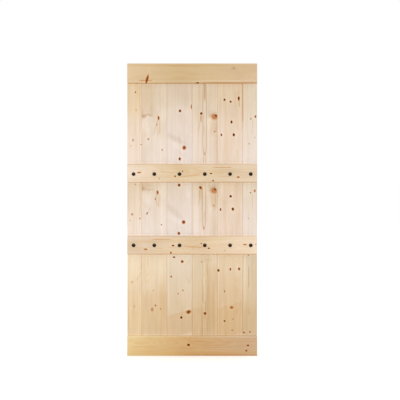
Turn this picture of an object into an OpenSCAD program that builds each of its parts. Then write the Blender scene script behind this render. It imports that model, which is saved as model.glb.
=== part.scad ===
// Sliding barn door leaf in knotty pine: two grooved rails, tongue-and-groove
// planks housed in them, and two middle bars laid over the planks and studded
// with black dome-headed nails. Millimetres. X runs across the leaf, the
// front faces -Y, and Z is up from the middle of the bottom edge.

/* [Leaf] */
// Width of the leaf
door_w = 914.4; // [700:0.1:1200]
// Height of the leaf
door_h = 2057.4; // [1850:0.1:2500]

/* [Rails] */
// Height of the top and bottom rails
rail_h = 139.7; // [100:0.1:200]
// Thickness of the top and bottom rails
rail_t = 35; // [32:0.5:45]

/* [Middle bars] */
// Height of each bar
bar_h = 127; // [100:0.5:160]
// Thickness of each bar
bar_t = 15; // [12:0.5:22]
// Height of the upper bar's centre line above the bottom edge
upper_bar_z = 1286; // [1150:1:1500]
// Height of the lower bar's centre line above the bottom edge
lower_bar_z = 779; // [500:1:950]

/* [Planks] */
// Thickness of the planks
plank_t = 20; // [18:0.5:24]
// Number of planks across the leaf, both edge planks included
plank_count = 6; // [5:1:8]
// Width of each edge plank, which is sawn down from a full one
edge_plank_w = 101.6; // [80:0.1:130]
// Gap left at each seam for the wood to move
seam_gap = 0.4; // [0.2:0.1:1]
// Chamfer on each front edge of a seam, two of which make the V
v_chamfer = 2.5; // [1:0.1:4]
// Chamfer on each back edge of a seam
back_chamfer = 0.8; // [0.3:0.1:1.5]
// Thickness of the tongue along a plank's edge
tongue_t = 6; // [5:0.1:7]
// How far the tongue stands out
tongue_l = 8; // [6:0.1:10]
// Chamfer on the tongue's tip
tongue_chamfer = 1; // [0.3:0.1:1.5]

/* [Rail joint] */
// Thickness of the tenon on each plank end
tenon_t = 10; // [8:0.1:12]
// How far the tenon goes into the rail
tenon_l = 20; // [16:0.5:28]

/* [Studs] */
// Diameter of the dome head
stud_head_d = 27; // [20:0.5:34]
// Height of the dome head
stud_head_h = 7.5; // [5:0.1:10]
// Height of the straight rim under the dome
stud_rim_h = 1.2; // [0.5:0.1:2]
// Diameter of the nail under the head
stud_shank_d = 5; // [4:0.1:6]
// Length of the nail under the head, point included
stud_shank_l = 28; // [22:0.5:32]
// Length of the nail's point
stud_point_l = 6; // [3:0.5:8]
// Distance from the leaf's side to the stud on an edge plank
edge_stud_in = 45; // [30:0.5:55]
// Distance of the upper bar's studs below its centre line
upper_stud_drop = 7; // [0:0.5:15]
// Distance of the lower bar's studs below its centre line
lower_stud_drop = 1.5; // [0:0.5:15]

/* [Screws] */
// Diameter of a screw's shank
screw_d = 3.5; // [3:0.1:4.5]
// Diameter of the countersunk head
screw_head_d = 7; // [6:0.1:9]
// Height of the countersunk head
screw_head_h = 2.2; // [1.8:0.1:3]
// Length of the screw's point
screw_point_l = 4; // [2:0.5:6]
// Length of a screw that holds a plank's tenon in a rail
rail_screw_l = 25; // [20:0.5:30]
// Length of a screw that holds a bar to a plank
bar_screw_l = 28; // [24:0.5:33]
// Depth of a screw head below the wood
screw_sink = 0.3; // [0:0.1:1]
// Distance from a plank's edge to a screw through its tenon
rail_screw_in = 32; // [25:0.5:34]
// Sideways distance from a stud to each of the two bar screws near it
bar_screw_dx = 25; // [15:0.5:26]
// Distance of those screws above and below the bar's centre line
bar_screw_dz = 36; // [20:0.5:42]
// Width of one arm of the cross recess in a screw head
recess_w = 0.9; // [0.6:0.1:1.2]
// Span of the cross recess
recess_span = 3.6; // [3:0.1:4.4]
// Depth of the cross recess
recess_h = 1.2; // [0.8:0.1:1.4]

/* [Fits] */
// Easing on the outer edges of rails, bars and edge planks
ease = 1.5; // [0.5:0.1:3]
// Clearance on each cheek of a tenon or tongue
joint_clear = 0.15; // [0.05:0.05:0.4]
// Room left past the end of a tenon or tongue
end_room = 1; // [0.5:0.1:2]
// Radial clearance of each screw and nail in its hole
hole_clear = 0.05; // [0.02:0.01:0.1]

/* [Hidden] */
$fn = 64;
CUT = 1;    // how far a cut runs past the face it opens

pine = "burlywood";
pale_pine = "navajowhite";
black_iron = "#26262a";
zinc = "silver";

// Planes across the thickness. Planks and rails share one flat back.
back_y = rail_t / 2;
plank_front_y = back_y - plank_t;
bar_front_y = plank_front_y - bar_t;
plank_mid_y = back_y - plank_t / 2;

// Heights where the rails meet the planks, and the planks' whole length.
bottom_seam_z = rail_h;
top_seam_z = door_h - rail_h;
plank_foot_z = bottom_seam_z - tenon_l;
plank_l = top_seam_z - bottom_seam_z + 2 * tenon_l;

// The full planks share the width that the two edge planks leave.
planks = [0 : plank_count - 1];
last_plank = plank_count - 1;
plank_cover = (door_w - 2 * edge_plank_w) / (plank_count - 2);

// Seam i lies on the left of plank i, and the last one is the right side.
function seam_x(i) =
    i == 0 ? -door_w / 2 :
    i == plank_count ? door_w / 2 :
    -door_w / 2 + edge_plank_w + (i - 1) * plank_cover;

// The faces of plank i, half a gap inside its seams.
function left_x(i) = seam_x(i) + (i == 0 ? 0 : seam_gap / 2);
function right_x(i) = seam_x(i + 1) - (i == last_plank ? 0 : seam_gap / 2);

// A stud lies on each plank's middle, but nearer the side on an edge plank.
function stud_x(i) =
    i == 0 ? -door_w / 2 + edge_stud_in :
    i == last_plank ? door_w / 2 - edge_stud_in :
    (seam_x(i) + seam_x(i + 1)) / 2;

upper_stud_z = upper_bar_z - upper_stud_drop;
lower_stud_z = lower_bar_z - lower_stud_drop;

// Heights of the screws through the tenons, in the middle of the tenons.
bottom_screw_z = bottom_seam_z - tenon_l / 2;
top_screw_z = top_seam_z + tenon_l / 2;

// [x, z] of plank i's screws in one rail, and of those through it into one bar.
function rail_screw_spots(i, z) = [
    for (x = [left_x(i) + rail_screw_in, right_x(i) - rail_screw_in]) [x, z]
];
function bar_screw_spots(i, bar_z) = [
    for (side = [-1, 1]) [stud_x(i) + side * bar_screw_dx, bar_z + side * bar_screw_dz]
];

// ---- shared shapes ----

// A w by h rectangle about the origin with its corners cut off.
module cut_rectangle(w, h, c) {
    polygon([
        [-w / 2 + c, -h / 2], [w / 2 - c, -h / 2],
        [w / 2, -h / 2 + c], [w / 2, h / 2 - c],
        [w / 2 - c, h / 2], [-w / 2 + c, h / 2],
        [-w / 2, h / 2 - c], [-w / 2, -h / 2 + c]
    ]);
}

// A board lying along X about the origin, with all twelve edges eased.
module eased_board(l, t, h) {
    intersection() {
        rotate([90, 0, 90])
            linear_extrude(l, center = true) cut_rectangle(t, h, ease);
        linear_extrude(h, center = true) cut_rectangle(l, t, ease);
        rotate([90, 0, 0])
            linear_extrude(t, center = true) cut_rectangle(l, h, ease);
    }
}

// Turns a shape built along +Z so that it runs from the back towards the front.
module from_back(x, z) {
    translate([x, back_y, z]) rotate([90, 0, 0]) children();
}

// A countersunk wood screw, its head's top screw_sink below the origin.
module screw(l) {
    shank_l = l - screw_head_h - screw_point_l;
    translate([0, 0, screw_sink]) difference() {
        union() {
            cylinder(h = screw_head_h, d1 = screw_head_d, d2 = screw_d);
            translate([0, 0, screw_head_h]) cylinder(h = shank_l, d = screw_d);
            translate([0, 0, screw_head_h + shank_l])
                cylinder(h = screw_point_l, d1 = screw_d, d2 = 0.4);
        }
        for (turn = [0, 90])
            rotate(turn)
                translate([-recess_span / 2, -recess_w / 2, -CUT])
                    cube([recess_span, recess_w, recess_h + CUT]);
    }
}

// The hole for that screw, open at the back and end_room longer than it is.
module screw_hole(l) {
    head_r = screw_head_d / 2 + hole_clear;
    shank_r = screw_d / 2 + hole_clear;
    translate([0, 0, -CUT]) cylinder(h = screw_sink + CUT, r = head_r);
    translate([0, 0, screw_sink])
        cylinder(h = screw_head_h, r1 = head_r, r2 = shank_r);
    cylinder(h = screw_sink + l + end_room, r = shank_r);
}

// The hole for a stud's nail, opened from the bar's front.
module stud_hole(i, stud_z) {
    translate([stud_x(i), bar_front_y - CUT, stud_z])
        rotate([-90, 0, 0])
            cylinder(h = stud_shank_l + end_room + CUT, d = stud_shank_d + 2 * hole_clear);
}

module rail_screw_holes(i, z) {
    for (p = rail_screw_spots(i, z)) from_back(p[0], p[1]) screw_hole(rail_screw_l);
}

module bar_screw_holes(i, bar_z) {
    for (p = bar_screw_spots(i, bar_z)) from_back(p[0], p[1]) screw_hole(bar_screw_l);
}

// ---- rails ----

// A rail about centre_z, grooved on the side facing the planks: up is 1 for
// the bottom rail and -1 for the top one. Its screws lie at screw_z.
module rail(centre_z, up, screw_z) {
    groove_w = tenon_t + 2 * joint_clear;
    groove_h = tenon_l + end_room;
    color(pine) difference() {
        translate([0, 0, centre_z]) eased_board(door_w, rail_t, rail_h);
        translate([0, plank_mid_y, centre_z + up * (rail_h / 2 - groove_h / 2 + CUT / 2)])
            cube([door_w + 2 * CUT, groove_w, groove_h + CUT], center = true);
        for (i = planks) rail_screw_holes(i, screw_z);
    }
}

// ---- middle bars ----

module bar(centre_z, stud_z) {
    color(pine) difference() {
        translate([0, bar_front_y + bar_t / 2, centre_z])
            eased_board(door_w, bar_t, bar_h);
        for (i = planks) {
            stud_hole(i, stud_z);
            bar_screw_holes(i, centre_z);
        }
    }
}

// ---- planks ----

// Half of a plank's section, as points from the front to the back, at the
// left (side -1) or the right (side 1). Sides of the leaf are eased.
function side_edge(x, side) = [
    [x - side * ease, plank_front_y], [x, plank_front_y + ease],
    [x, back_y - ease], [x - side * ease, back_y]
];
function tongue_edge(x) = [
    [x - v_chamfer, plank_front_y], [x, plank_front_y + v_chamfer],
    [x, plank_mid_y - tongue_t / 2],
    [x + tongue_l - tongue_chamfer, plank_mid_y - tongue_t / 2],
    [x + tongue_l, plank_mid_y - tongue_t / 2 + tongue_chamfer],
    [x + tongue_l, plank_mid_y + tongue_t / 2 - tongue_chamfer],
    [x + tongue_l - tongue_chamfer, plank_mid_y + tongue_t / 2],
    [x, plank_mid_y + tongue_t / 2],
    [x, back_y - back_chamfer], [x - back_chamfer, back_y]
];
function groove_edge(x) =
    let (cheek = tongue_t / 2 + joint_clear, deep = x + tongue_l + end_room)
    [
        [x + v_chamfer, plank_front_y], [x, plank_front_y + v_chamfer],
        [x, plank_mid_y - cheek], [deep, plank_mid_y - cheek],
        [deep, plank_mid_y + cheek], [x, plank_mid_y + cheek],
        [x, back_y - back_chamfer], [x + back_chamfer, back_y]
    ];
function backwards(points) = [for (k = [len(points) - 1 : -1 : 0]) points[k]];
function plank_section(i) = concat(
    i == 0 ? side_edge(left_x(i), -1) : groove_edge(left_x(i)),
    backwards(i == last_plank ? side_edge(right_x(i), 1) : tongue_edge(right_x(i)))
);

// The cheeks cut from both faces of a plank end, which leave its tenon.
module tenon_cheeks(z) {
    cheek_t = (plank_t - tenon_t) / 2;
    for (y = [plank_front_y - CUT, plank_mid_y + tenon_t / 2])
        translate([-door_w, y, z]) cube([2 * door_w, cheek_t + CUT, tenon_l + CUT]);
}

module plank(i) {
    color(pale_pine) difference() {
        translate([0, 0, plank_foot_z]) linear_extrude(plank_l) polygon(plank_section(i));
        tenon_cheeks(bottom_seam_z - tenon_l - CUT);
        tenon_cheeks(top_seam_z);
        for (z = [bottom_screw_z, top_screw_z]) rail_screw_holes(i, z);
        for (z = [lower_stud_z, upper_stud_z]) stud_hole(i, z);
        for (z = [lower_bar_z, upper_bar_z]) bar_screw_holes(i, z);
    }
}

// ---- studs and screws ----

// A dome-headed nail, seated on the bar's front face.
module stud(i, stud_z) {
    dome_h = stud_head_h - stud_rim_h;
    head_r = stud_head_d / 2;
    dome_r = (head_r * head_r + dome_h * dome_h) / (2 * dome_h);
    straight_l = stud_shank_l - stud_point_l;
    color(black_iron)
        translate([stud_x(i), bar_front_y, stud_z]) {
            rotate([90, 0, 0]) {
                cylinder(h = stud_rim_h, r = head_r);
                intersection() {
                    translate([0, 0, stud_head_h - dome_r]) sphere(dome_r);
                    translate([0, 0, stud_rim_h]) cylinder(h = dome_h, r = head_r);
                }
            }
            rotate([-90, 0, 0]) {
                cylinder(h = straight_l, d = stud_shank_d);
                translate([0, 0, straight_l])
                    cylinder(h = stud_point_l, d1 = stud_shank_d, d2 = 0.6);
            }
        }
}

module rail_screws(z) {
    color(zinc)
        for (i = planks, p = rail_screw_spots(i, z))
            from_back(p[0], p[1]) screw(rail_screw_l);
}

module bar_screws(bar_z) {
    color(zinc)
        for (i = planks, p = bar_screw_spots(i, bar_z))
            from_back(p[0], p[1]) screw(bar_screw_l);
}

rail(door_h - rail_h / 2, -1, top_screw_z);  // top_rail
rail(rail_h / 2, 1, bottom_screw_z);  // bottom_rail
bar(upper_bar_z, upper_stud_z);  // upper_bar
bar(lower_bar_z, lower_stud_z);  // lower_bar
for (i = planks) {
    plank(i);
    stud(i, upper_stud_z);
    stud(i, lower_stud_z);
}
rail_screws(top_screw_z);  // top_rail_screws
rail_screws(bottom_screw_z);  // bottom_rail_screws
bar_screws(upper_bar_z);  // upper_bar_screws
bar_screws(lower_bar_z);  // lower_bar_screws
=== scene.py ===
"""Looks of a knotty-pine barn door leaf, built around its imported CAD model.

Places on the leaf are in millimetres in its own frame: X across from its middle,
Z up from its bottom edge, Y from the front to the back. Blender gets metres.
"""

import math
import random
from dataclasses import dataclass, field

import bmesh
import bpy
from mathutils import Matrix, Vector


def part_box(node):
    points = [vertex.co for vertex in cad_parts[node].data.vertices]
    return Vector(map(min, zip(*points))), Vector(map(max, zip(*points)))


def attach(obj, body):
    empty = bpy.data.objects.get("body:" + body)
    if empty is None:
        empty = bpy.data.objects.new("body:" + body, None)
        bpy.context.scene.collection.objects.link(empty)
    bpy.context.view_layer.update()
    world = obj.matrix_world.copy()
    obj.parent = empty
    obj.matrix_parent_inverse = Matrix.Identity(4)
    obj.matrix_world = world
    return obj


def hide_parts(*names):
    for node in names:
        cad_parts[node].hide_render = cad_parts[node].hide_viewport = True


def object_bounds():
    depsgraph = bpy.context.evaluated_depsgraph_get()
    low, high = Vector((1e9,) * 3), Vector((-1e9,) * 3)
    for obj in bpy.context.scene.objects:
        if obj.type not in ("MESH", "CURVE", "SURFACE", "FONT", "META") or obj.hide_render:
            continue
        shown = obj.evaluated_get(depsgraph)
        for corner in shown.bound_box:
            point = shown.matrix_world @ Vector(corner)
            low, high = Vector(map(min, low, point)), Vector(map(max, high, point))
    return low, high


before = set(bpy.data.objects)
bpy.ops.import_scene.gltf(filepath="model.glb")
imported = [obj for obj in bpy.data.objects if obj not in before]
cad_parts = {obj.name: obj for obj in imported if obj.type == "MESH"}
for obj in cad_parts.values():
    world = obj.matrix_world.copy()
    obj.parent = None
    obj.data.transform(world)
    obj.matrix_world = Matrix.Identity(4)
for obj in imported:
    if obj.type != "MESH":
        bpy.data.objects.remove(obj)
cad_low, cad_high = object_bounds()

MM = 0.001
LEAF_W = (cad_high.x - cad_low.x) / MM
LEAF_H = (cad_high.z - cad_low.z) / MM


# ---- colours ----

def srgb(red, green, blue):
    """A colour as a screen shows it, 0 to 255 a channel, turned into linear light."""
    def linear(c):
        c /= 255
        return c / 12.92 if c <= 0.04045 else ((c + 0.055) / 1.055) ** 2.4
    return (linear(red), linear(green), linear(blue), 1.0)


def tinted(colour, light, warm):
    """The colour made lighter, and warmer by taking out green and twice as much blue."""
    return (colour[0] * light, colour[1] * light * (1 - warm), colour[2] * light * (1 - 2 * warm), 1.0)


MILK = srgb(226, 213, 204)
CREAM = srgb(222, 207, 193)
BUFF = srgb(214, 198, 177)
STRAW = srgb(220, 203, 178)
SAND = srgb(215, 194, 165)
HONEY = srgb(211, 188, 155)
KNOT_GOLD = srgb(200, 146, 78)
KNOT_TAN = srgb(190, 109, 46)
KNOT_DARK = srgb(54, 17, 2)
CRACK = srgb(26, 10, 4)

# Grain, stains, painted light and painted shade multiply the wood's own colour by these.
LATEWOOD = (0.88, 0.76, 0.60, 1.0)
SLOW_YEARS = (0.95, 0.90, 0.80, 1.0)
# Real resin streaks, and painted shade lines along the lower edges of the rails and bars.
RESIN_AND_SHADE = (0.84, 0.58, 0.36, 1.0)
BROWN = (0.74, 0.60, 0.45, 1.0)
TAN = (0.90, 0.81, 0.68, 1.0)
GREY = (0.82, 0.79, 0.74, 1.0)
BLUSH = (1.01, 0.97, 1.02, 1.0)
YELLOWED = (1.0, 0.96, 0.84, 1.0)
PALE = (1.08, 1.10, 1.14, 1.0)
# Painted light: a strip on the planks beside each rail and bar, offsetting the ledge's shade.
LEDGE_PAINTED_LIGHT = (1.24, 1.28, 1.30, 1.0)
# Part dust, part painted shade: the line in the corner where a plank meets a rail or bar.
CORNER_DUST_AND_SHADE = (0.85, 0.77, 0.69, 1.0)
# Bare pale wood in streaks, and a painted highlight on the bottom rail's top edge.
BARE_WOOD_AND_HIGHLIGHT = (1.10, 1.26, 1.50, 1.0)
HALO = (0.88, 0.66, 0.46, 1.0)
END_GRAIN = (0.84, 0.72, 0.56, 1.0)
# Painted light in the V-joints between planks, offsetting their shade.
JOINT_PAINTED_LIGHT = (1.12, 1.07, 1.00, 1.0)


# ---- what each board looks like ----

@dataclass
class Knot:
    """A branch cut through by the face. Wide and tall are half its size along X and Z."""
    x: float
    z: float
    wide: float
    tall: float
    strength: float = 1.0   # how much it shows, 0 to 1
    dark: float = 0.6       # its core, from orange-tan, 0, to nearly black, 1
    lean: float = 0.0       # mm across for each mm up
    eye: tuple = (0, 0)     # where its core lies, as shares of its half size
    core: float = 1.0       # its core's size, as a share of the knot's


@dataclass
class Stain:
    """A patch, half_x and half_z from its middle to its edge, rounded or boxed."""
    x: float
    z: float
    half_x: float
    half_z: float
    strength: float
    colour: tuple
    lean: float = 0.0       # mm up for each mm across
    soft: float = 0.5       # its edge fades over this share of its half size, inwards and outwards
    boxed: bool = False


@dataclass
class Streak:
    """A thin line with the grain between two (x, z) points, fading out at both ends."""
    start: tuple
    stop: tuple
    half: float             # half its thickness
    strength: float
    colour: tuple
    waver: float = 3.0      # how far it wanders sideways, mm


@dataclass
class Peak:
    """Growth rings cut to a point at (x, z): two lines that open over reach to half_x and fade
    before the height far."""
    x: float
    z: float
    far: float
    half_x: float
    half: float             # half a line's thickness
    strength: float
    colour: tuple
    reach: float = 70.0


@dataclass
class Board:
    """One board's own wood. Its knots and marks are painted over its tone and its rings."""
    tone: list                   # (place along the grain, colour) from end to end
    pith: tuple                  # the tree's centre: mm to the side of the board's middle, and its Y
    ring: float = 3.4            # mm between two growth rings
    drift: tuple = (16, 26)      # how far the tree's centre wanders sideways and in depth
    figure: float = 0.6          # how strongly the rings show
    knots: list = field(default_factory=list)
    marks: list = field(default_factory=list)


def plank_tone(light, warm, low_light, low_warm):
    """The two upper fields, shifted by light and warm, are paler towards the foot. The lowest,
    shifted by low_light and low_warm, is honey, and paler at its top."""
    upper, lower = (light, warm), (low_light, low_warm)
    return [
        (142, tinted(SAND, *lower)),
        (185, tinted(HONEY, *lower)),
        (300, tinted(HONEY, *lower)),
        (430, tinted(SAND, *lower)),
        (620, tinted(STRAW, *lower)),
        (710, tinted(STRAW, *lower)),
        (840, tinted(MILK, *upper)),
        (1050, tinted(CREAM, *upper)),
        (1210, tinted(BUFF, *upper)),
        (1350, tinted(MILK, *upper)),
        (1600, tinted(CREAM, *upper)),
        (1830, tinted(BUFF, *upper)),
        (1917, tinted(BUFF, *upper)),
    ]


BOARDS = {
    "plank_1": Board(
        plank_tone(1.05, 0.01, 1.10, -0.015), pith=(60, 70), figure=0.7,
        knots=[
            Knot(-400, 1856, 5, 6, 0.8, 0.6), Knot(-395, 1730, 5, 7, 0.25, 0.2),
            Knot(-416, 1518, 6, 8, 0.45, 0.3), Knot(-434, 1478, 4, 4, 0.4, 0.3),
            Knot(-361, 1487, 4, 5, 0.6, 0.4), Knot(-400, 1206, 5, 5, 0.35, 0.3),
            Knot(-423, 994, 7, 8, 0.45, 0.45), Knot(-439, 954, 4, 5, 0.4, 0.3),
            Knot(-368, 966, 5, 6, 0.5, 0.4), Knot(-424, 518, 8, 7, 0.35, 0.1),
            Knot(-407, 346, 6, 9, 0.22, 0.1),
        ],
        marks=[
            Stain(-407, 1860, 60, 170, 0.8, YELLOWED, soft=0.5, boxed=True),
            Streak((-452, 1990), (-452, 1650), 6, 0.4, TAN),
            Streak((-368, 1915), (-366, 1700), 4, 0.5, TAN),
            Streak((-395, 1480), (-393, 1350), 4, 0.3, PALE),
            Streak((-366, 1790), (-366, 1540), 6, 0.5, TAN),
            Streak((-366, 1290), (-366, 1020), 6, 0.7, TAN), Stain(-368, 1010, 14, 46, 0.4, TAN),
            Streak((-410, 1040), (-410, 840), 4, 0.3, TAN), Streak((-350, 600), (-400, 520), 8, 0.6, TAN),
            Streak((-362, 712), (-360, 590), 6, 0.5, TAN), Streak((-396, 330), (-398, 140), 4, 0.5, TAN),
            # The pale straight line beside the seam is painted light that offsets the V-joint's shade.
            Streak((-351, 560), (-351, 40), 8, 0.9, PALE, 1),
        ],
    ),
    "plank_2": Board(
        plank_tone(1.0, -0.005, 1.03, 0.0), pith=(-50, 82), figure=0.5,
        knots=[
            Knot(-237, 1674, 6, 12, 0.85, 0.5), Knot(-250, 1628, 3, 5, 0.45, 0.5),
            Knot(-310, 1526, 5, 7, 0.5, 0.5), Knot(-211, 1449, 4, 6, 0.4, 0.75),
            Knot(-244, 1150, 7, 11, 0.8, 0.45), Knot(-260, 1103, 4, 5, 0.6, 0.5),
            Knot(-317, 1003, 5, 9, 0.4, 0.8, 0.3), Knot(-216, 923, 5, 5, 0.4, 0.8),
            Knot(-282, 324, 8, 12, 0.5, 0.2), Knot(-258, 353, 5, 6, 0.7, 0.4),
            Knot(-223, 330, 5, 7, 0.4, 0.35), Knot(-275, 458, 3, 7, 0.4, 0.3),
        ],
        marks=[
            Stain(-315, 1812, 38, 112, 0.6, TAN, soft=0.3, boxed=True),
            Streak((-277, 1925), (-277, 1700), 4, 0.4, TAN),
            Streak((-289, 1990), (-289, 1690), 4, 0.5, TAN), Stain(-284, 1650, 22, 90, 0.35, GREY),
            Streak((-246, 1740), (-240, 1530), 7, 0.7, TAN), Stain(-226, 1455, 20, 100, 0.8, PALE),
            Stain(-351, 1700, 8, 30, 0.5, BROWN, soft=0.9),
            Stain(-343, 1686, 17, 12, 0.8, BROWN, soft=0.7), Stain(-308, 1694, 34, 8, 0.5, BROWN),
            Stain(-315, 1622, 38, 54, 0.8, PALE), Stain(-203, 1700, 22, 46, 0.6, PALE),
            Streak((-229, 1672), (-229, 1552), 4, 0.8, RESIN_AND_SHADE),
            Streak((-236, 1680), (-278, 1540), 4, 0.6, BROWN),
            Streak((-229, 1560), (-229, 1350), 3, 0.3, TAN),
            Stain(-315, 1202, 44, 18, 0.4, TAN, boxed=True), Stain(-204, 1170, 26, 60, 1.0, PALE),
            Stain(-214, 980, 16, 150, 0.8, PALE), Streak((-247, 1250), (-246, 1080), 5, 0.5, TAN),
            Stain(-300, 590, 18, 110, 0.6, PALE), Stain(-220, 600, 12, 110, 0.6, PALE),
            Stain(-351, 1188, 8, 30, 0.5, BROWN, soft=0.9),
            Stain(-345, 1176, 18, 13, 0.7, BROWN, soft=0.7), Stain(-298, 1170, 30, 7, 0.5, BROWN),
            Stain(-310, 1110, 44, 46, 0.6, PALE), Streak((-234, 1148), (-236, 1040), 4, 0.7, RESIN_AND_SHADE),
            Streak((-244, 1150), (-264, 1090), 4, 0.8, BROWN),
            Streak((-262, 1116), (-240, 1046), 4, 0.7, BROWN),
            Streak((-296, 1050), (-322, 980), 4, 0.6, BROWN),
            Streak((-266, 1060), (-266, 840), 3, 0.3, TAN), Streak((-310, 712), (-309, 600), 6, 0.5, TAN),
            Stain(-205, 430, 24, 110, 0.5, TAN),
            Stain(-266, 300, 92, 150, 0.3, TAN, soft=0.2, boxed=True),
        ],
    ),
    "plank_3": Board(
        plank_tone(0.98, -0.022, 0.975, -0.032), pith=(58, 64), figure=0.38,
        knots=[
            Knot(-86, 1725, 7, 8, 1.0, 0.75), Knot(-6, 1754, 3, 13, 0.9, 0.5),
            Knot(-57, 1464, 11, 12, 0.95, 0.45, 0, (0.2, 0.25)), Knot(-88, 1386, 7, 9, 1.0, 0.65),
            Knot(-92, 1202, 8, 9, 1.0, 0.65), Knot(-61, 940, 10, 11, 0.95, 0.55, 0, (0.2, 0.2)),
            Knot(-94, 861, 8, 9, 0.95, 0.6), Knot(-128, 693, 7, 5, 0.8, 0.85),
            Knot(-71, 662, 8, 8, 0.95, 0.6, 0, (0.3, 0)), Knot(-148, 557, 5, 8, 0.65, 0.5),
            Knot(-65, 459, 5, 7, 0.45, 0.3), Knot(-99, 435, 5, 6, 0.5, 0.3),
            Knot(-26, 307, 13, 11, 1.0, 0.5, 0.2), Knot(-77, 268, 7, 8, 1.0, 0.75),
        ],
        marks=[
            Stain(-90, 1870, 96, 96, 0.22, TAN, lean=0.3, soft=0.35, boxed=True),
            Stain(-26, 1706, 28, 40, 0.6, PALE), Stain(-122, 1530, 80, 18, 0.55, GREY, -0.54, 0.8),
            Stain(-100, 1474, 50, 22, 0.5, PALE, -0.5), Stain(-133, 1020, 64, 24, 0.5, GREY, -0.8, 0.8),
            Stain(-120, 956, 50, 20, 0.5, PALE, -0.5),
            Stain(-89, 222, 100, 80, 0.6, TAN, lean=0.3, soft=0.06, boxed=True),
            Stain(-135, 230, 45, 130, 0.6, PALE), Streak((-89, 1590), (-88, 1320), 10, 0.6, TAN),
            Stain(-46, 1830, 24, 80, 0.35, GREY), Streak((-3, 1990), (-3, 1700), 5, 0.5, TAN, 1),
            # The pale straight line near x -167 is painted light beside the seam, offsetting the V-joint's
            # shade.
            Stain(-22, 1170, 28, 60, 0.9, PALE), Streak((-168, 780), (-167, 300), 9, 0.8, PALE, 1),
            Stain(-89, 1030, 100, 1100, 0.35, BLUSH, soft=0.1, boxed=True),
        ],
    ),
    "plank_4": Board(
        plank_tone(0.99, 0.001, 0.965, 0.003), pith=(-4, 46), ring=4.2, drift=(8, 30), figure=0.72,
        knots=[
            Knot(64, 1706, 7, 7, 1.0, 0.85, 0, (-0.1, 0.3)),
            Knot(158, 1684, 17, 17, 0.72, 0.9, 0, (0.68, 0.45), 0.6), Knot(159, 1579, 6, 6, 0.45, 0.2),
            Knot(59, 1182, 8, 10, 0.95, 0.7, -0.4, (-0.2, 0.4)),
            Knot(156, 1163, 16, 17, 0.66, 0.8, -0.1, (0.55, 0.65), 0.62),
            Knot(153, 1057, 6, 7, 0.35, 0.4), Knot(90, 297, 8, 9, 0.95, 0.7, 0, (0.3, 0.1)),
            Knot(68, 660, 4, 4, 0.5, 0.4),
        ],
        marks=[
            Streak((88, 2030), (88, 1772), 12, 0.9, BROWN, 1), Peak(88, 1408, 2050, 13, 3.6, 0.75, BROWN),
            Stain(87, 1424, 4, 13, 0.8, BROWN), Stain(80, 1640, 4, 90, 0.4, TAN),
            Streak((79, 1412), (81, 1330), 3, 0.6, RESIN_AND_SHADE), Streak((97, 1412), (96, 1330), 3, 0.6, RESIN_AND_SHADE),
            Streak((48, 1915), (50, 1790), 6, 0.4, TAN), Streak((64, 1706), (42, 1566), 4, 0.5, BROWN),
            Streak((172, 1720), (170, 1560), 4, 0.5, BROWN), Stain(150, 1618, 24, 66, 0.75, TAN),
            Stain(142, 1712, 30, 16, 0.5, GREY, soft=0.8),
            Stain(140, 1686, 22, 16, 0.75, BROWN, soft=0.8),
            Streak((62, 1716), (62, 1640), 9, 0.6, RESIN_AND_SHADE),
            Streak((171, 1640), (171, 1280), 4, 0.4, RESIN_AND_SHADE, 1), Stain(160, 1450, 15, 120, 0.4, TAN),
            Stain(22, 1600, 22, 90, 0.5, PALE), Stain(122, 1640, 18, 44, 0.9, PALE),
            Peak(83, 888, 1300, 13, 3.6, 0.75, BROWN), Stain(81, 900, 5, 14, 0.8, RESIN_AND_SHADE),
            Streak((74, 1230), (75, 920), 5, 0.6, TAN), Streak((92, 1230), (91, 920), 5, 0.6, TAN),
            Stain(60, 1150, 14, 54, 0.7, TAN), Stain(103, 1165, 14, 60, 0.9, PALE),
            Stain(50, 960, 12, 110, 0.6, PALE), Streak((58, 1180), (42, 1040), 4, 0.5, BROWN),
            Streak((167, 1160), (167, 1020), 4, 0.6, BROWN), Stain(150, 1116, 24, 84, 0.85, TAN),
            Stain(140, 1192, 30, 14, 0.5, GREY, soft=0.8), Stain(140, 1164, 22, 16, 0.7, BROWN, soft=0.8),
            Stain(152, 930, 18, 110, 0.6, TAN), Stain(118, 1080, 14, 100, 0.8, PALE),
            Stain(20, 1040, 24, 200, 0.6, PALE),
            Stain(140, 385, 40, 250, 0.5, TAN, soft=0.15, boxed=True),
            Streak((104, 500), (106, 140), 6, 0.4, TAN, 8), Streak((146, 560), (148, 140), 6, 0.5, TAN),
            Streak((83, 660), (84, 580), 5, 0.4, BARE_WOOD_AND_HIGHLIGHT, 10),
            Streak((84, 560), (85, 420), 5, 0.55, BARE_WOOD_AND_HIGHLIGHT, 16),
            Streak((86, 430), (83, 320), 4, 0.5, BARE_WOOD_AND_HIGHLIGHT, 10),
            # These two pale straight lines beside the seams are painted light, offsetting the V-joints'
            # shade.
            Streak((168, 800), (168, 60), 9, 0.9, PALE, 1), Streak((7, 780), (7, 60), 10, 0.5, PALE, 1),
            Streak((92, 400), (93, 300), 3, 1.0, BROWN, 20),
            Streak((94, 300), (90, 256), 5, 0.8, BROWN, 10), Stain(116, 674, 28, 12, 0.5, TAN),
            Streak((73, 560), (74, 360), 3, 0.8, BROWN, 10),
            Streak((70, 330), (71, 120), 3, 0.5, BROWN, 4),
            Stain(36, 232, 42, 105, 0.35, TAN, soft=0.06, boxed=True),
        ],
    ),
    "plank_5": Board(
        plank_tone(0.99, 0.046, 0.985, 0.038), pith=(40, 88), figure=0.55,
        knots=[
            Knot(228, 1803, 6, 7, 1.0, 0.85), Knot(271, 1789, 6, 6, 1.0, 0.8),
            Knot(328, 1811, 6, 13, 1.0, 0.95), Knot(277, 1646, 6, 10, 1.0, 0.85),
            Knot(293, 1556, 7, 9, 1.0, 0.95), Knot(206, 1555, 5, 9, 0.85, 0.9),
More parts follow.
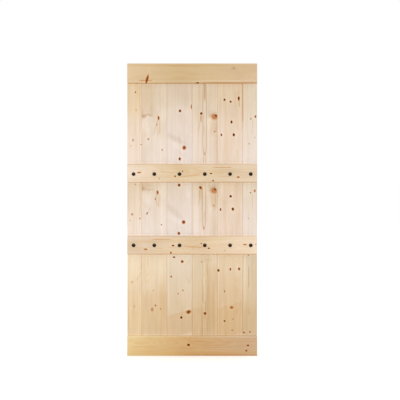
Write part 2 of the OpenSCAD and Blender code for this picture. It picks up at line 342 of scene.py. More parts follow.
            Knot(271, 1122, 7, 8, 1.0, 0.85), Knot(287, 1032, 8, 10, 1.0, 0.72),
            Knot(200, 1030, 5, 9, 0.8, 0.85), Knot(186, 600, 6, 8, 1.0, 1.0),
            Knot(269, 608, 5, 8, 0.75, 0.85), Knot(331, 611, 6, 9, 0.9, 0.7),
            Knot(228, 452, 4, 8, 0.5, 0.6), Knot(278, 338, 10, 8, 0.85, 0.3),
            Knot(228, 243, 6, 6, 0.85, 0.7), Knot(287, 256, 5, 5, 0.35, 0.3),
            Knot(282, 178, 5, 5, 0.6, 0.4),
        ],
        marks=[
            Streak((330, 1810), (333, 1745), 4, 0.9, RESIN_AND_SHADE),
            Streak((328, 1866), (328, 1810), 3, 0.5, RESIN_AND_SHADE),
            Streak((353, 2060), (353, 1600), 5, 0.5, RESIN_AND_SHADE, 1),
            # The pale straight lines beside the seams, here and below, are painted light that offsets the
            # V-joints' shade.
            Streak((186, 1915), (186, 1350), 4, 0.4, PALE, 1),
            Streak((182, 770), (181, 80), 8, 0.9, PALE, 1),
            Streak((350, 800), (349, 40), 9, 0.5, PALE, 1),
            Streak((348, 1250), (348, 820), 8, 0.6, PALE, 1),
            Streak((348, 1600), (348, 1340), 8, 0.6, PALE, 1), Stain(226, 1170, 26, 60, 0.9, PALE),
            Stain(284, 1180, 9, 60, 0.7, PALE), Stain(245, 1460, 14, 100, 0.45, TAN),
            Stain(266, 248, 100, 110, 0.45, TAN, lean=0.3, soft=0.06, boxed=True),
        ],
    ),
    "plank_6": Board(
        plank_tone(0.995, -0.024, 0.932, -0.003), pith=(-66, 60), figure=0.55,
        knots=[
            Knot(445, 1684, 6, 8, 0.85, 0.45), Knot(413, 1668, 6, 4, 0.55, 0.65),
            Knot(401, 1493, 4, 5, 0.4, 0.4), Knot(442, 1537, 4, 5, 0.25, 0.3),
            Knot(440, 1160, 6, 8, 0.8, 0.3), Knot(410, 1147, 5, 5, 0.55, 0.7),
            Knot(396, 967, 4, 5, 0.2, 0.4), Knot(365, 162, 7, 6, 0.8, 0.4),
            Knot(407, 167, 5, 6, 0.75, 0.4), Knot(397, 707, 4, 5, 0.5, 0.5),
        ],
        marks=[
            Streak((426, 1670), (426, 1550), 3, 0.5, BROWN),
            Streak((424, 1150), (424, 1020), 3, 0.4, BROWN),
            Streak((398, 640), (400, 466), 4, 0.9, BROWN, 5),
            # The pale straight line at x 372 is painted light beside the seam, offsetting the V-joint's
            # shade.
            Streak((401, 345), (400, 280), 3, 0.6, BROWN), Streak((372, 800), (372, 40), 8, 0.6, PALE, 1),
            Streak((359, 2060), (359, 1600), 5, 0.6, RESIN_AND_SHADE, 1), Stain(378, 560, 20, 150, 0.5, PALE),
            Stain(436, 600, 24, 130, 0.2, TAN), Stain(400, 240, 50, 110, 0.3, TAN),
            Stain(384, 1170, 28, 60, 0.8, PALE), Stain(374, 1650, 10, 100, 0.5, PALE),
        ],
    ),
    "top_rail": Board(
        [(-457, srgb(212, 187, 152)), (-100, srgb(198, 172, 131)), (457, srgb(206, 180, 146))],
        pith=(-30, 90), ring=3.0, figure=0.3,
        knots=[
            Knot(-318, 1944, 7, 28, 1.0, 0.5, 0.24), Knot(38, 1921, 10, 4, 1.0, 0.75),
            Knot(293, 2025, 9, 7, 0.15, 0.3),
        ],
        marks=[
            Streak((-378, 1936), (-314, 1937), 6, 1.0, RESIN_AND_SHADE, 1),
            Streak((-322, 1936), (-280, 1937), 6, 0.9, RESIN_AND_SHADE, 1),
            Streak((-210, 2044), (0, 2043), 5, 0.4, TAN), Streak((-170, 2033), (80, 2032), 4, 0.3, TAN),
            Stain(293, 2024, 26, 10, 0.4, GREY), Stain(340, 1955, 95, 28, 0.6, BLUSH),
            Stain(250, 1934, 200, 4, 0.45, BARE_WOOD_AND_HIGHLIGHT, soft=0.4, boxed=True),
            # Painted shade along the rail's lower edge.
            Stain(0, 1918, 470, 3.5, 0.8, RESIN_AND_SHADE, soft=0.3, boxed=True),
            Stain(0, 1933, 470, 5, 0.35, BARE_WOOD_AND_HIGHLIGHT, soft=0.4, boxed=True),
            # More painted shade along the rail's lower edge, on its right part.
            Stain(270, 1925, 190, 4, 0.7, RESIN_AND_SHADE, soft=0.3, boxed=True),
            Streak((-560, 2041), (560, 2042), 7, 0.4, TAN),
        ],
    ),
    "upper_bar": Board(
        [(-457, srgb(229, 212, 195)), (-100, srgb(216, 195, 164)), (457, srgb(218, 200, 178))],
        pith=(10, 70), ring=3.2, figure=0.65,
        knots=[
            Knot(-373, 1290, 12, 5, 0.8, 0.15), Knot(-120, 1264, 6, 5, 0.8, 0.6),
            Knot(-68, 1299, 5, 5, 0.7, 0.5), Knot(132, 1283, 7, 4, 0.9, 1.0),
            Knot(324, 1257, 9, 5, 0.85, 0.4), Knot(147, 1231, 5, 6, 0.8, 0.5),
            Knot(-231, 1247, 4, 5, 0.4, 0.4),
        ],
        marks=[
            Streak((140, 1325), (292, 1326), 4, 0.9, RESIN_AND_SHADE, 2),
            Streak((-90, 1261), (75, 1276), 6, 0.6, RESIN_AND_SHADE),
            Streak((-225, 1296), (-120, 1290), 5, 0.4, RESIN_AND_SHADE, 6),
            Streak((175, 1262), (270, 1262), 3, 0.4, RESIN_AND_SHADE), Stain(250, 1300, 90, 18, 0.3, GREY),
            # Painted shade along the bar's top edge.
            Stain(0, 1345, 470, 2.5, 0.35, BROWN, soft=0.3, boxed=True),
            # Painted shade along the bar's lower edge.
            Stain(0, 1222, 470, 2.4, 0.8, RESIN_AND_SHADE, soft=0.4, boxed=True),
        ],
    ),
    "lower_bar": Board(
        [(-457, srgb(218, 199, 178)), (30, srgb(216, 193, 162)), (457, srgb(229, 211, 190))],
        pith=(-16, 64), ring=3.2, figure=0.65,
        knots=[
            Knot(-135, 776, 8, 5, 0.95, 1.0), Knot(-327, 749, 10, 5, 0.85, 0.4),
            Knot(-150, 725, 6, 6, 0.8, 0.5), Knot(117, 757, 7, 5, 0.85, 0.55),
            Knot(371, 783, 12, 5, 0.8, 0.15), Knot(448, 784, 4, 4, 0.6, 0.4),
            Knot(229, 739, 4, 4, 0.4, 0.4), Knot(64, 790, 5, 4, 0.6, 0.8),
        ],
        marks=[
            Streak((-290, 819), (-136, 820), 4, 0.9, RESIN_AND_SHADE, 2),
            Streak((-70, 772), (95, 760), 6, 0.6, RESIN_AND_SHADE), Streak((-270, 756), (-200, 756), 4, 0.4, RESIN_AND_SHADE),
            Streak((180, 788), (300, 780), 5, 0.4, TAN),
            # Painted shade along the bar's top edge.
            Stain(0, 838, 470, 2.5, 0.35, BROWN, soft=0.3, boxed=True),
            # Painted shade along the bar's lower edge.
            Stain(0, 715, 470, 3, 0.85, RESIN_AND_SHADE, soft=0.4, boxed=True),
            Stain(0, 731, 470, 12, 0.3, PALE, boxed=True),
        ],
    ),
    "bottom_rail": Board(
        [(-457, srgb(221, 197, 149)), (-20, srgb(200, 165, 119)), (457, srgb(198, 169, 138))],
        pith=(24, 84), ring=3.0, figure=0.7,
        knots=[
            Knot(-26, 77, 9, 7, 1.0, 0.8), Knot(392, 72, 8, 5, 0.95, 0.7), Knot(381, 36, 6, 6, 0.85, 0.6),
        ],
        marks=[
            Streak((40, 74), (240, 74), 3, 0.45, RESIN_AND_SHADE), Streak((60, 56), (330, 57), 3, 0.3, BROWN),
            Streak((-440, 62), (-240, 63), 4, 0.5, RESIN_AND_SHADE),
            Streak((-60, 100), (470, 97), 4, 0.3, BROWN, 8),
            # The first stain is a painted highlight along the rail's eased top edge.
            Stain(0, 136, 470, 7, 0.75, BARE_WOOD_AND_HIGHLIGHT, soft=0.4, boxed=True), Stain(-330, 150, 190, 30, 0.6, PALE),
            Stain(200, 3, 300, 8, 0.6, RESIN_AND_SHADE), Stain(0, 20, 470, 14, 0.9, YELLOWED, boxed=True),
        ],
    ),
}


# ---- shaders ----

FAR_OFF = 99.0        # farther than any distance that matters
THIN = 6              # a stain narrower than twice this keeps a straight edge, mm
PEAK_WAVER = 3.0      # how far a ring that is cut to a point wanders sideways, mm

# How large the wood's own features are, in mm across the grain, along it and in depth.
FIBRE = (0.9, 60, 0.9)
STRAND = (7, 420, 7)
CLOUD = (60, 220, 60)
UNEVEN = (30, 260, 30)

TREE_BEND = 620       # length of board in which the tree's centre wanders once, mm
STREAK_BEND = 60      # the same for a streak, mm
DECADE = 15           # thickness of a run of slow or fast years, mm

# How far each feature stands out of the surface or goes into it, mm.
LATE_RISE = 0.10
FIBRE_RISE = 0.12
KNOT_RING_RISE = 0.12
CRACK_DEPTH = 0.8


class Shader:
    """Adds nodes to one material in short calls. Each call returns the new node's output."""

    def __init__(self, name):
        self.material = bpy.data.materials.new(name)
        self.material.use_nodes = True
        self.tree = self.material.node_tree
        self.tree.nodes.clear()

    def node(self, kind, inputs, output=0, **settings):
        """Makes one node. Each of its inputs is a number or colour, or an output to link to it."""
        made = self.tree.nodes.new("ShaderNode" + kind)
        for key, value in settings.items():
            setattr(made, key, value)
        for key, value in inputs.items():
            if isinstance(value, bpy.types.NodeSocket):
                self.tree.links.new(value, made.inputs[key])
            else:
                made.inputs[key].default_value = value
        return made.outputs[output]

    def math(self, operation, *values):
        return self.node("Math", dict(enumerate(values)), operation=operation)

    def vector(self, operation, *values):
        is_number = operation in ("LENGTH", "DOT_PRODUCT")
        return self.node("VectorMath", dict(enumerate(values)), 1 if is_number else 0, operation=operation)

    def combine(self, x, y, z):
        return self.node("CombineXYZ", {0: x, 1: y, 2: z})

    def separate(self, vector):
        made = self.node("SeparateXYZ", {0: vector})
        return [made.node.outputs[k] for k in range(3)]

    # A Mix node's sockets 4 and 5 are its two vectors, and 6 and 7 its two colours.

    def mix(self, factor, first, second, blend="MIX"):
        inputs = {0: factor, 6: first, 7: second}
        return self.node("Mix", inputs, 2, data_type="RGBA", blend_type=blend)

    def mix_vector(self, factor, first, second):
        return self.node("Mix", {0: factor, 4: first, 5: second}, 1, data_type="VECTOR")

    def tint(self, colour, share, by):
        """The colour multiplied by another, as far as share says."""
        return self.mix(share, colour, by, "MULTIPLY")

    def smooth(self, value, start, stop, low=0.0, high=1.0):
        """Goes smoothly from low, where value is at start, to high, where it is at stop."""
        inputs = {0: value, 1: start, 2: stop, 3: low, 4: high}
        return self.node("MapRange", inputs, interpolation_type="SMOOTHSTEP")

    def noise(self, place, step, detail=2.0, roughness=0.5, output=0):
        """Noise whose features are about step long along each axis of place."""
        where = self.vector("DIVIDE", place, step)
        inputs = {0: where, "Scale": 1.0, "Detail": detail, "Roughness": roughness}
        return self.node("TexNoise", inputs, output)

    def ragged(self, place, step, reach):
        """The place moved to and fro, so that what is drawn at it gets a ragged edge."""
        moved = self.noise(place, (step, step, step), output=1)
        moved = self.vector("SUBTRACT", moved, (0.5, 0.5, 0.5))
        return self.vector("ADD", place, self.vector("MULTIPLY", moved, (*reach, 0)))

    def ramp(self, value, stops):
        """Fades between colours, given as (value, colour) in rising order."""
        first, last = stops[0][0], stops[-1][0]
        share = self.node("MapRange", {0: value, 1: first, 2: last})
        made = self.node("ValToRGB", {0: share})
        elements = made.node.color_ramp.elements
        elements.remove(elements[1])
        for k, (at, colour) in enumerate(stops):
            element = elements[0] if k == 0 else elements.new((at - first) / (last - first))
            element.position = (at - first) / (last - first)
            element.color = colour
        return made

    def finish(self, colour, roughness, height_mm, **values):
        """Ends in a Principled shader. Its fixed values are set on the shader's own sockets."""
        bump = self.node("Bump", {"Height": height_mm, "Strength": 1.0, "Distance": MM})
        made = self.node("BsdfPrincipled", {"Base Color": colour, "Roughness": roughness, "Normal": bump})
        for key, value in values.items():
            made.node.inputs[key.replace("_", " ")].default_value = value
        out = self.tree.nodes.new("ShaderNodeOutputMaterial")
        self.tree.links.new(made, out.inputs["Surface"])
        return self.material


def own_place(s):
    """The point being shaded, in mm in the leaf's frame."""
    here = s.node("TexCoord", {}, "Object")
    return s.node("VectorMath", {0: here, "Scale": 1 / MM}, operation="SCALE")


def own_facing(s):
    """Which way the surface faces at that point: the X, Y and Z of its normal."""
    return s.separate(s.node("TexCoord", {}, "Normal"))


class Spot:
    """The point being shaded on one board, in mm: across and along the grain, and as a flat
    place on the front. low and high are the board's corners, and waver bends its streaks."""

    def __init__(self, s, name):
        self.upright = name.startswith("plank")
        self.x, self.y, self.z = s.separate(own_place(s))
        self.across, self.along = (self.x, self.z) if self.upright else (self.z, self.x)
        self.face = s.combine(self.x, self.z, 0)
        self.low, self.high = [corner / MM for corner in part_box(name)]
        # Each board reads the noise at a place of its own.
        self.seed = sum(map(ord, name)) % 97 * 11.0
        at = s.combine(self.across, self.along, self.y)
        self.apart = s.vector("ADD", at, (self.seed * 31, self.seed * 17, self.seed * 5))
        bend = s.noise(s.combine(self.seed, self.along, 0), (1, STREAK_BEND, 1), 1.0)
        self.waver = s.math("SUBTRACT", bend, 0.5)

    def middle(self):
        """The middle of the board's width."""
        return (self.low.x + self.high.x) / 2 if self.upright else (self.low.z + self.high.z) / 2


def knot_field(s, spot, knots):
    """How far the grain is pushed aside, and the nearest knot: how many times its own size
    away it is, (place within it, distance from its core), and its (strength, darkness, number)."""
    push, near, local, facts = 0.0, FAR_OFF, (0, 0, FAR_OFF), (0, 0, 0)
    at = s.ragged(spot.face, 16, (7, 7))
    # The grain stays pushed aside for longer beyond a knot's ends than beyond its sides.
    squeeze = (1, 0.2, 0) if spot.upright else (0.2, 1, 0)
    for number, k in enumerate(knots):
        away = s.vector("SUBTRACT", at, (k.x, k.z, 0))
        own_x = s.vector("DOT_PRODUCT", away, (1 / k.wide, -k.lean / k.wide, 0))
        own_z = s.vector("DOT_PRODUCT", away, (0, 1 / k.tall, 0))
        own = s.combine(own_x, own_z, 0)
        far = s.vector("LENGTH", own)
        core_far = s.vector("LENGTH", s.vector("SUBTRACT", own, (*k.eye, 0)))
        core_far = s.math("DIVIDE", core_far, k.core)
        reach = s.vector("DOT_PRODUCT", own, s.vector("MULTIPLY", own, squeeze))
        eased = s.math("DIVIDE", own_x if spot.upright else own_z, s.math("MAXIMUM", reach, 1.0))
        half = k.wide if spot.upright else k.tall
        push = s.math("MULTIPLY_ADD", eased, half * min(1, 0.4 + k.strength), push)
        nearer = s.math("LESS_THAN", far, near)
        local = s.mix_vector(nearer, local, s.combine(own_x, own_z, core_far))
        # A knot's number sets where in the noise its cracks are read.
        facts = s.mix_vector(nearer, facts, (k.strength, min(1, 1.2 * k.dark), number * 3.7))
        near = s.math("MINIMUM", near, far)
    return push, near, local, facts


def growth_rings(s, board, spot, push):
    """Circles about the tree's centre, which wanders along the board. Gives how much of a point
    is dark latewood, and how much of it grew in a run of slow years."""
    drift = s.noise(s.combine(spot.seed, spot.along, 0), (1, TREE_BEND, 1), 1.0, output=1)
    drift_x, drift_y, _ = s.separate(s.vector("SUBTRACT", drift, (0.5, 0.5, 0.5)))
    from_x = s.math("SUBTRACT", spot.across, s.math("ADD", push, spot.middle() + board.pith[0]))
    from_x = s.math("MULTIPLY_ADD", drift_x, 2 * board.drift[0], from_x)
    from_y = s.math("SUBTRACT", board.pith[1], spot.y)
    from_y = s.math("MULTIPLY_ADD", drift_y, 2 * board.drift[1], from_y)
    radius = s.vector("LENGTH", s.combine(from_x, from_y, 0))
    radius = s.math("MULTIPLY_ADD", s.noise(spot.apart, UNEVEN), 2.4 * board.ring, radius)
    years = s.math("DIVIDE", radius, board.ring)
    # A ring darkens slowly through its year, and ends at once.
    part = s.math("FRACT", years)
    late = s.math("MULTIPLY", s.smooth(part, 0.30, 0.92), s.smooth(part, 1.0, 0.94))
    year = s.node("TexWhiteNoise", {"W": s.math("FLOOR", years)}, noise_dimensions="1D")
    late = s.math("MULTIPLY", late, s.smooth(year, 0, 1, 0.5, 1.0))
    decade = s.noise(s.combine(radius, spot.seed, 0), (DECADE, 1, 1), 1.0)
    return late, s.smooth(decade, 0.42, 0.66)


def grain_colour(s, board, spot, late, slow_years, fibre):
    """The board's own tone with its rings, strands and fibres, before any mark or knot."""
    colour = s.ramp(spot.along, board.tone)
    if spot.upright:
        # The front's tones differ from end to end. Towards the back they fade mostly into one.
        colour = s.mix(s.smooth(spot.y, 4, 14, 0, 0.75), colour, STRAW)
    strand = s.noise(spot.apart, STRAND)
    cloud = s.noise(spot.apart, CLOUD, 1.0)
    colour = s.tint(colour, s.math("MULTIPLY", late, 0.7 * board.figure), LATEWOOD)
    colour = s.tint(colour, s.math("MULTIPLY", slow_years, board.figure), SLOW_YEARS)
    colour = s.tint(colour, s.smooth(strand, 0.35, 0.75, 0, 0.6 * board.figure), TAN)
    colour = s.tint(colour, s.smooth(cloud, 0.4, 0.7, 0, 0.25), GREY)
    return s.tint(colour, s.smooth(fibre, 0.5, 0.8, 0, 0.4), TAN)


def line_share(s, mark, off):
    """How much a line of the mark's colours a point that is off mm from the line's middle."""
    return s.smooth(s.math("ABSOLUTE", off), 1.2 * mark.half, 0.2 * mark.half, 0, mark.strength)


def stain_share(s, mark, at):
    """How much a stain colours a point, from 0 to its strength."""
    away = s.vector("SUBTRACT", at, (mark.x, mark.z, 0))
    own_x = s.vector("DOT_PRODUCT", away, (1 / mark.half_x, 0, 0))
    own_z = s.vector("DOT_PRODUCT", away, (-mark.lean / mark.half_z, 1 / mark.half_z, 0))
    if mark.boxed:
        far = s.math("MAXIMUM", s.math("ABSOLUTE", own_x), s.math("ABSOLUTE", own_z))
    else:
        far = s.vector("LENGTH", s.combine(own_x, own_z, 0))
    return s.smooth(far, 1 + mark.soft, 1 - mark.soft, 0, mark.strength)


def streak_share(s, mark, spot):
    """How much a streak colours a point. It runs along the grain."""
    start, stop = (mark.start, mark.stop) if spot.upright else (mark.start[::-1], mark.stop[::-1])
    (across_0, along_0), (across_1, along_1) = start, stop
    share = s.math("DIVIDE", s.math("SUBTRACT", spot.along, along_0), along_1 - along_0)
    centre = s.math("MULTIPLY_ADD", share, across_1 - across_0, across_0)
    off = s.math("SUBTRACT", spot.across, s.math("MULTIPLY_ADD", spot.waver, mark.waver, centre))
    ends = s.smooth(s.math("ABSOLUTE", s.math("SUBTRACT", share, 0.5)), 0.5, 0.3)
    return s.math("MULTIPLY", line_share(s, mark, off), ends)


def peak_share(s, mark, spot):
    """How much a ring that is cut to a point colours a point of the board."""
    above = s.math("SUBTRACT", spot.along, mark.z)
    opened = s.node("Clamp", {0: s.math("DIVIDE", above, mark.reach)})
    spread = s.math("MULTIPLY", s.math("SQRT", opened), mark.half_x)
    off = s.math("SUBTRACT", s.math("MULTIPLY_ADD", spot.waver, PEAK_WAVER, spot.across), mark.x)
    off = s.math("SUBTRACT", s.math("ABSOLUTE", off), spread)
    height = mark.far - mark.z
    ends = s.math("MULTIPLY", s.smooth(above, -4, 3), s.smooth(above, height, 0.6 * height))
    return s.math("MULTIPLY", line_share(s, mark, off), ends)


def with_marks(s, board, spot, colour):
    """The board's stains, streaks and ring points over its grain."""
    ragged = s.ragged(spot.face, 24, (14, 22))
    for mark in board.marks:
        if isinstance(mark, Stain):
            thin = min(mark.half_x, mark.half_z) < THIN
            share = stain_share(s, mark, spot.face if thin else ragged)
        elif isinstance(mark, Streak):
            share = streak_share(s, mark, spot)
        else:
            share = peak_share(s, mark, spot)
        colour = s.tint(colour, share, mark.colour)
    return colour


def with_knots(s, colour, near, local, facts):
    """Each knot over the grain: clear wood and a warm halo round it, a ringed face that darkens
    to its core, and star-shaped cracks. Also gives how much of a point is knot, and two shares
    of relief: its rings and its cracks."""
    strength, dark, number = s.separate(facts)
    own_x, own_z, core_far = s.separate(local)
    # Distances are in knot sizes from its middle: 1 is its edge.
    clear = s.math("MULTIPLY", s.smooth(near, 1.5, 2.0), s.smooth(near, 3.4, 2.2))
    colour = s.tint(colour, s.math("MULTIPLY", clear, s.math("MULTIPLY", strength, 0.5)), PALE)
    halo = s.math("MULTIPLY", s.smooth(near, 2.0, 1.0), s.math("MULTIPLY", strength, 0.68))
    colour = s.tint(colour, halo, HALO)
    ring = s.math("FRACT", s.math("MULTIPLY", near, 3.6))
    core = s.math("MULTIPLY", dark, s.smooth(core_far, 1.2, 0.6))
    core = s.math("MINIMUM", s.math("MULTIPLY_ADD", ring, 0.15, core), 1.0)
    core = s.math("MULTIPLY", core, s.math("MULTIPLY_ADD", strength, 0.7, 0.3))
    # A faint knot is golden, and a strong one a deep orange-tan.
    tan = s.mix(s.smooth(strength, 0.3, 0.65), KNOT_GOLD, KNOT_TAN)
    face = s.mix(s.math("MAXIMUM", strength, core), colour, tan)
    face = s.mix(core, face, KNOT_DARK)
    angle = s.math("ARCTAN2", own_z, own_x)
    ray = s.noise(s.combine(angle, number, 0), (0.16, 1, 1), 1.0)
    crack = s.math("MULTIPLY", s.smooth(ray, 0.66, 0.72), s.smooth(near, 0.95, 0.6))
    crack = s.math("MULTIPLY", crack, dark)
    face = s.mix(crack, face, CRACK)
    cover = s.smooth(near, 1.25, 1.0)
    colour = s.mix(cover, colour, face)
    return colour, cover, s.math("MULTIPLY", cover, ring), s.math("MULTIPLY", cover, crack)


def beside_ledges(s, spot):
    """Two shares along each rail and bar, on the planks' faces only: a strip of painted light that offsets
    the ledge's shade, and the brown line in the corner, part dust and part painted shade."""
    gap = FAR_OFF
    for ledge in ("top_rail", "bottom_rail", "upper_bar", "lower_bar"):
        low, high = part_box(ledge)
        off = s.math("ABSOLUTE", s.math("SUBTRACT", spot.z, (low.z + high.z) / 2 / MM))
        gap = s.math("MINIMUM", gap, s.math("SUBTRACT", off, (high.z - low.z) / 2 / MM))
    front = s.smooth(spot.y, 4, 0)
    # The painted light strip is 15 mm wide and the corner line, part dust and part painted shade, 4.5 mm,
    # each with a soft outer edge.
    painted_light_strip = s.math("MULTIPLY", s.smooth(gap, 15, 3), front)
    corner = s.math("MULTIPLY", s.smooth(gap, 4.5, 2), front)
    return painted_light_strip, corner


def with_edges(s, spot, colour):
    """Darker end grain and, on a plank, V-joints made paler with painted light that offsets their shade,
    and the painted light and shade along each rail and bar.
    """
    facing = own_facing(s)[2 if spot.upright else 0]
    colour = s.tint(colour, s.smooth(s.math("ABSOLUTE", facing), 0.5, 0.9), END_GRAIN)
    if not spot.upright:
        return colour
    # The joints start just behind the plank's two faces. The leaf's own sides aren't joints.
    painted_joint_light = s.smooth(s.math("ABSOLUTE", spot.x), LEAF_W / 2 - 0.5, LEAF_W / 2 - 2)
    painted_joint_light = s.math("MULTIPLY", painted_joint_light, s.smooth(spot.y, spot.low.y + 0.1, spot.low.y + 2.0))
    painted_joint_light = s.math("MULTIPLY", painted_joint_light, s.smooth(spot.y, spot.high.y - 0.1, spot.high.y - 2.5))
    # The V-joints get painted light that offsets their shade.
    colour = s.tint(colour, painted_joint_light, JOINT_PAINTED_LIGHT)
    painted_light_strip, corner = beside_ledges(s, spot)
    # Painted light beside each rail and bar.
    colour = s.tint(colour, painted_light_strip, LEDGE_PAINTED_LIGHT)
    # The corner line: part dust, part painted shade.
    return s.tint(colour, corner, CORNER_DUST_AND_SHADE)


def wood(name, board):
    """Bare pine: growth rings cut by the board's own faces, bent round its knots."""
    s = Shader(name + "_pine")
    spot = Spot(s, name)
    push, near, local, facts = knot_field(s, spot, board.knots)
    late, slow_years = growth_rings(s, board, spot, push)
    fibre = s.noise(spot.apart, FIBRE)
    colour = grain_colour(s, board, spot, late, slow_years, fibre)
    colour = with_marks(s, board, spot, colour)
    colour, knotty, knot_rings, cracks = with_knots(s, colour, near, local, facts)
    colour = with_edges(s, spot, colour)
    height = s.math("MULTIPLY", late, LATE_RISE)
    height = s.math("MULTIPLY_ADD", fibre, FIBRE_RISE, height)
    height = s.math("MULTIPLY_ADD", knot_rings, KNOT_RING_RISE, height)
    height = s.math("MULTIPLY_ADD", cracks, -CRACK_DEPTH, height)
    # Latewood is a little smoother than the rest, and a knot is smoother still.
    roughness = s.math("MULTIPLY_ADD", late, -0.08, s.smooth(fibre, 0.2, 0.8, 0.62, 0.74))
    roughness = s.math("MULTIPLY_ADD", knotty, -0.14, roughness)
    return s.finish(colour, roughness, height, Specular_IOR_Level=0.06)


def black_iron():
    """Satin black paint over hammered iron, browner in patches, and lighter where it faces up: dust, and
    painted light from above.
    """
    s = Shader("black_iron")
    at = own_place(s)
    patch = s.noise(at, (4, 4, 4), 3.0)
    grain = s.noise(at, (0.5, 0.5, 0.5))
    up = own_facing(s)[2]
    colour = s.mix(s.smooth(patch, 0.45, 0.7), srgb(20, 13, 9), srgb(32, 21, 14))
    colour = s.mix(s.smooth(grain, 0.5, 0.8, 0, 0.4), colour, srgb(48, 36, 28))
    # Dust, and painted light from above: lighter where the surface faces up.
    colour = s.mix(s.smooth(up, 0.05, 0.7, 0, 0.75), colour, srgb(110, 94, 76))
    height = s.math("MULTIPLY_ADD", grain, 0.03, s.math("MULTIPLY", patch, 0.15))
    return s.finish(colour, s.smooth(patch, 0.3, 0.7, 0.24, 0.38), height,
                    Specular_IOR_Level=0.15, Specular_Tint=(1.0, 0.8, 0.6, 1.0))


def zinc_steel():
    """Dull zinc plate, cloudy, with fine turning marks."""
    s = Shader("zinc_steel")
    at = own_place(s)
    patch = s.noise(at, (2.5, 2.5, 2.5), 3.0)
    marks = s.noise(at, (0.2, 4, 0.2), 1.0)
    colour = s.mix(s.smooth(patch, 0.4, 0.7), srgb(196, 196, 190), srgb(150, 148, 138))
    height = s.math("MULTIPLY", marks, 0.03)
    return s.finish(colour, s.smooth(patch, 0.3, 0.7, 0.3, 0.5), height, Metallic=1.0)


def floor_white():
    """A white studio floor, lit from within a little so that it meets the backdrop unseen."""
    s = Shader("floor_white")
    patch = s.noise(own_place(s), (900, 900, 900))
    colour = s.mix(patch, srgb(248, 248, 247), srgb(244, 244, 243))
    height = s.math("MULTIPLY", patch, 0.01)
    return s.finish(colour, s.smooth(patch, 0, 1, 0.75, 0.85), height,
                    Emission_Color=(1, 1, 1, 1), Emission_Strength=0.16, Specular_IOR_Level=0.1)


# ---- stage, light and camera, in metres ----

FLOOR_HALF = 60       # from the floor's middle to its edge
FLOOR_GAP = 0.0005    # between the floor and the leaf's bottom edge


def make_floor():
    mesh = bpy.data.meshes.new("floor")
    bm = bmesh.new()
    bmesh.ops.create_grid(bm, x_segments=8, y_segments=8, size=FLOOR_HALF)
    bm.to_mesh(mesh)
    bm.free()
    floor = bpy.data.objects.new("floor", mesh)
    floor.location.z = cad_low.z - FLOOR_GAP
    floor.data.materials.append(floor_white())
    bpy.context.collection.objects.link(floor)


def make_sun(name, towards, spread_deg, power):
    """A far soft light, which lies in the direction towards as seen from the leaf."""
    data = bpy.data.lights.new(name, "SUN")
    data.angle = math.radians(spread_deg)
    data.energy = power
    lamp = bpy.data.objects.new(name, data)
    lamp.rotation_mode = "QUATERNION"
    lamp.rotation_quaternion = Vector(towards).to_track_quat("Z", "Y")
    bpy.context.collection.objects.link(lamp)


def make_studio():
    """White light from all round, and a soft key light from the upper left in front."""
    world = bpy.data.worlds.new("studio")
    world.use_nodes = True
    background = world.node_tree.nodes["Background"]
    background.inputs["Color"].default_value = (1, 1, 1, 1)
    background.inputs["Strength"].default_value = 1.0
    scene = bpy.context.scene
    scene.world = world
    scene.view_settings.view_transform = "Standard"
    make_sun("key", towards=(-0.5, -1.0, 0.6), spread_deg=18, power=0.5)


def make_camera(leaf_share=0.325, right=0.055, up=0.0675, lens=150):
    """Looks straight at the leaf, which fills leaf_share of the frame's width and lies a
    little left of its middle and below it: right and up are how far the camera is moved."""
    data = bpy.data.cameras.new("camera")
    data.lens = lens
    data.sensor_width = 36
    away = LEAF_W * MM / leaf_share * lens / data.sensor_width
    camera = bpy.data.objects.new("camera", data)
    camera.location = (right, cad_low.y - away, LEAF_H / 2 * MM + up)
    camera.rotation_euler = (math.radians(90), 0, 0)
    bpy.context.collection.objects.link(camera)
    bpy.context.scene.camera = camera


# ---- hammered studs ----

RIM = 1.2             # height of a stud head's straight rim, mm
SHANK = 2.5           # half the shank's thickness, mm
POINT = 6.0           # length of the shank's point, mm
POINT_END = 0.3       # half the thickness of the point's end, mm
FILLET = 0.4          # bevel of the corner between head and shank, mm
EASE = 0.15           # bevel of the rim's front corner, mm
FOOT = 0.2            # bevel of the rim's back corner, mm
CROWN_STEPS = 20      # from the middle of the crown to the rim
AROUND = 72           # corners in one ring of a stud
BLOWS = 26            # hammer blows on one head
BLOW_REACH = (2.8, 4.6)     # least and most, from a blow's middle to its edge, mm
BLOW_DEPTH = (0.35, 0.8)    # least and most, mm
UNEVEN_RIM = 0.012    # the outline lies this share inside the CAD stud's, on average
SHARP = math.radians(40)    # an edge that bends more isn't shaded smooth


@dataclass
class Dent:
    """A hammer blow at (x, z) from the head's middle, round and deepest at its middle."""
    x: float
    z: float
    reach: float
    depth: float

    def at(self, x, z):
        share = min(1, math.hypot(x - self.x, z - self.z) / self.reach)
        return self.depth * (1 - share * share) ** 2


def hammer_blow(radius, chance):
    """One blow, anywhere on a head of that radius."""
    far = radius * math.sqrt(chance.random())
    turn = chance.uniform(0, math.tau)
    reach = chance.uniform(*BLOW_REACH)
    depth = chance.uniform(*BLOW_DEPTH)
    return Dent(far * math.cos(turn), far * math.sin(turn), reach, depth)


def stud_profile(radius, head, length):
    """(distance from the axis, depth behind the bar's face) from the crown to the point, mm."""
    rise = head - RIM
    ball = (radius * radius + rise * rise) / (2 * rise)
    widest = math.asin(radius / ball)
    crown = [widest * k / CROWN_STEPS for k in range(1, CROWN_STEPS)]
    rows = [(ball * math.sin(a), -head + ball * (1 - math.cos(a))) for a in crown]
    rows += [(radius - EASE, -RIM - EASE / 3), (radius, -RIM + EASE), (radius, -FOOT), (radius - FOOT, 0)]
    rows += [(SHANK + FILLET, 0), (SHANK, FILLET), (SHANK, length - POINT), (POINT_END, length)]
    return rows


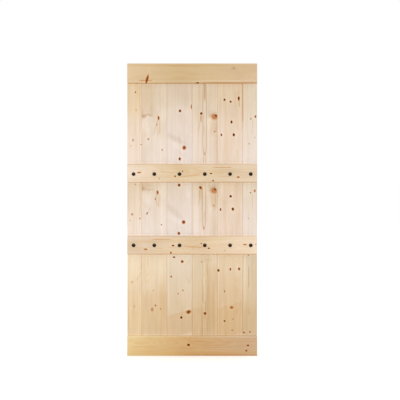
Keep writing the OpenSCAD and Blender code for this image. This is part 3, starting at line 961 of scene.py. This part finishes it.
def close_stud(bm, rings, top, tip):
    """Faces between each two rings, and fans that close the crown and the point."""
    steps = [(k, (k + 1) % AROUND) for k in range(AROUND)]
    for inner, outer in zip(rings, rings[1:]):
        for here, after in steps:
            bm.faces.new((inner[here], inner[after], outer[after], outer[here]))
    for here, after in steps:
        bm.faces.new((top, rings[0][after], rings[0][here]))
        bm.faces.new((tip, rings[-1][here], rings[-1][after]))
    bmesh.ops.recalc_face_normals(bm, faces=bm.faces)
    for facet in bm.faces:
        facet.smooth = True
    for edge in bm.edges:
        edge.smooth = edge.calc_face_angle(0) < SHARP


def hammered_stud(node_name, bar_name, iron):
    """A hand-beaten round head on its pointed shank, never larger than the CAD stud."""
    low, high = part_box(node_name)
    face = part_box(bar_name)[0].y
    centre_x, centre_z = (low.x + high.x) / 2, (low.z + high.z) / 2
    radius, head, length = (high.x - low.x) / 2 / MM, (face - low.y) / MM, (high.y - face) / MM
    chance = random.Random(node_name)
    dents = [hammer_blow(radius, chance) for _ in range(BLOWS)]
    waves = [chance.uniform(0, math.tau) for _ in range(3)]
    bm = bmesh.new()
    rings = []
    for far, deep in stud_profile(radius, head, length):
        ring = []
        for k in range(AROUND):
            turn = math.tau * k / AROUND
            # The shank and the middle of the crown stay round.
            out_of_round = sum(math.sin((n + 2) * turn + waves[n]) for n in range(3)) / 3
            reach = far * (1 - UNEVEN_RIM * (1 + out_of_round)) if far > SHANK + 1 else far
            x, z = reach * math.cos(turn), reach * math.sin(turn)
            beaten = max(dent.at(x, z) for dent in dents) if deep < -RIM else 0
            place = (centre_x + x * MM, face + (deep + beaten) * MM, centre_z + z * MM)
            ring.append(bm.verts.new(place))
        rings.append(ring)
    beaten = max(dent.at(0, 0) for dent in dents)
    top = bm.verts.new((centre_x, low.y + beaten * MM, centre_z))
    tip = bm.verts.new((centre_x, high.y, centre_z))
    close_stud(bm, rings, top, tip)
    mesh = bpy.data.meshes.new("hammered_" + node_name)
    bm.to_mesh(mesh)
    bm.free()
    mesh.materials.append(iron)
    piece = bpy.data.objects.new(mesh.name, mesh)
    bpy.context.collection.objects.link(piece)
    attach(piece, "root")
    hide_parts(node_name)


# ---- pieces ----

make_floor()
make_studio()
make_camera()
for board_name, board in BOARDS.items():
    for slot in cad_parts[board_name].material_slots:
        slot.material = wood(board_name, board)
iron, zinc = black_iron(), zinc_steel()
for node_name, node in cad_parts.items():
    if "stud" in node_name:
        bar_name = node_name.split("_")[0] + "_bar"
        hammered_stud(node_name, bar_name, iron)
    elif "screws" in node_name:
        for slot in node.material_slots:
            slot.material = zinc
